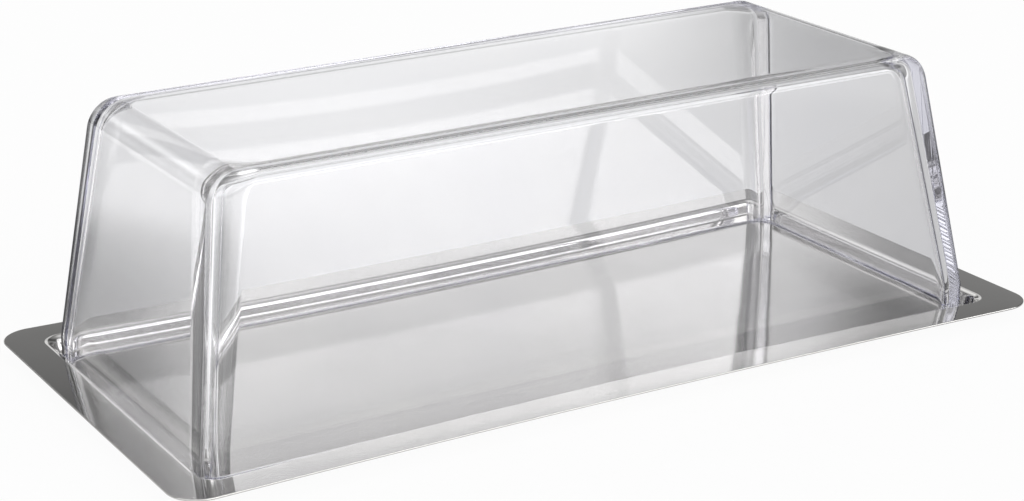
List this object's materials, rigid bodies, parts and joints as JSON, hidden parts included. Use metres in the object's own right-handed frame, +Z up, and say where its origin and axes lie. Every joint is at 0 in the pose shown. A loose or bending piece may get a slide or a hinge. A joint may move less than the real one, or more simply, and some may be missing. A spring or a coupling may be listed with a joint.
{
  "type": "covered loaf cake tray",
  "caption": "Shallow polished sheet tray with a flat rim and pressed recess, and a clear drafted box cover that lifts off and stands in the recess.",
  "frame": {"origin": "centre of the tray's underside, on the table", "axes": "+X along the tray's length, +Y across it, +Z up"},
  "size_m": [0.36, 0.184, 0.1041],
  "materials": {
    "steel_tray": "mirror-polished stainless sheet with a faint haze",
    "clear_cover": "clear, glossy, slightly cool tint at the edges"
  },
  "bodies": {
    "tray": {"steel_tray": "steel_tray"},
    "cover": {"clear_cover": "clear_cover"}
  },
  "joints": [
    {"name": "cover_lift", "type": "slide", "parent": "tray", "child": "cover", "axis": [0, 0, 1], "range_m": [0, 0.15]}
  ]
}
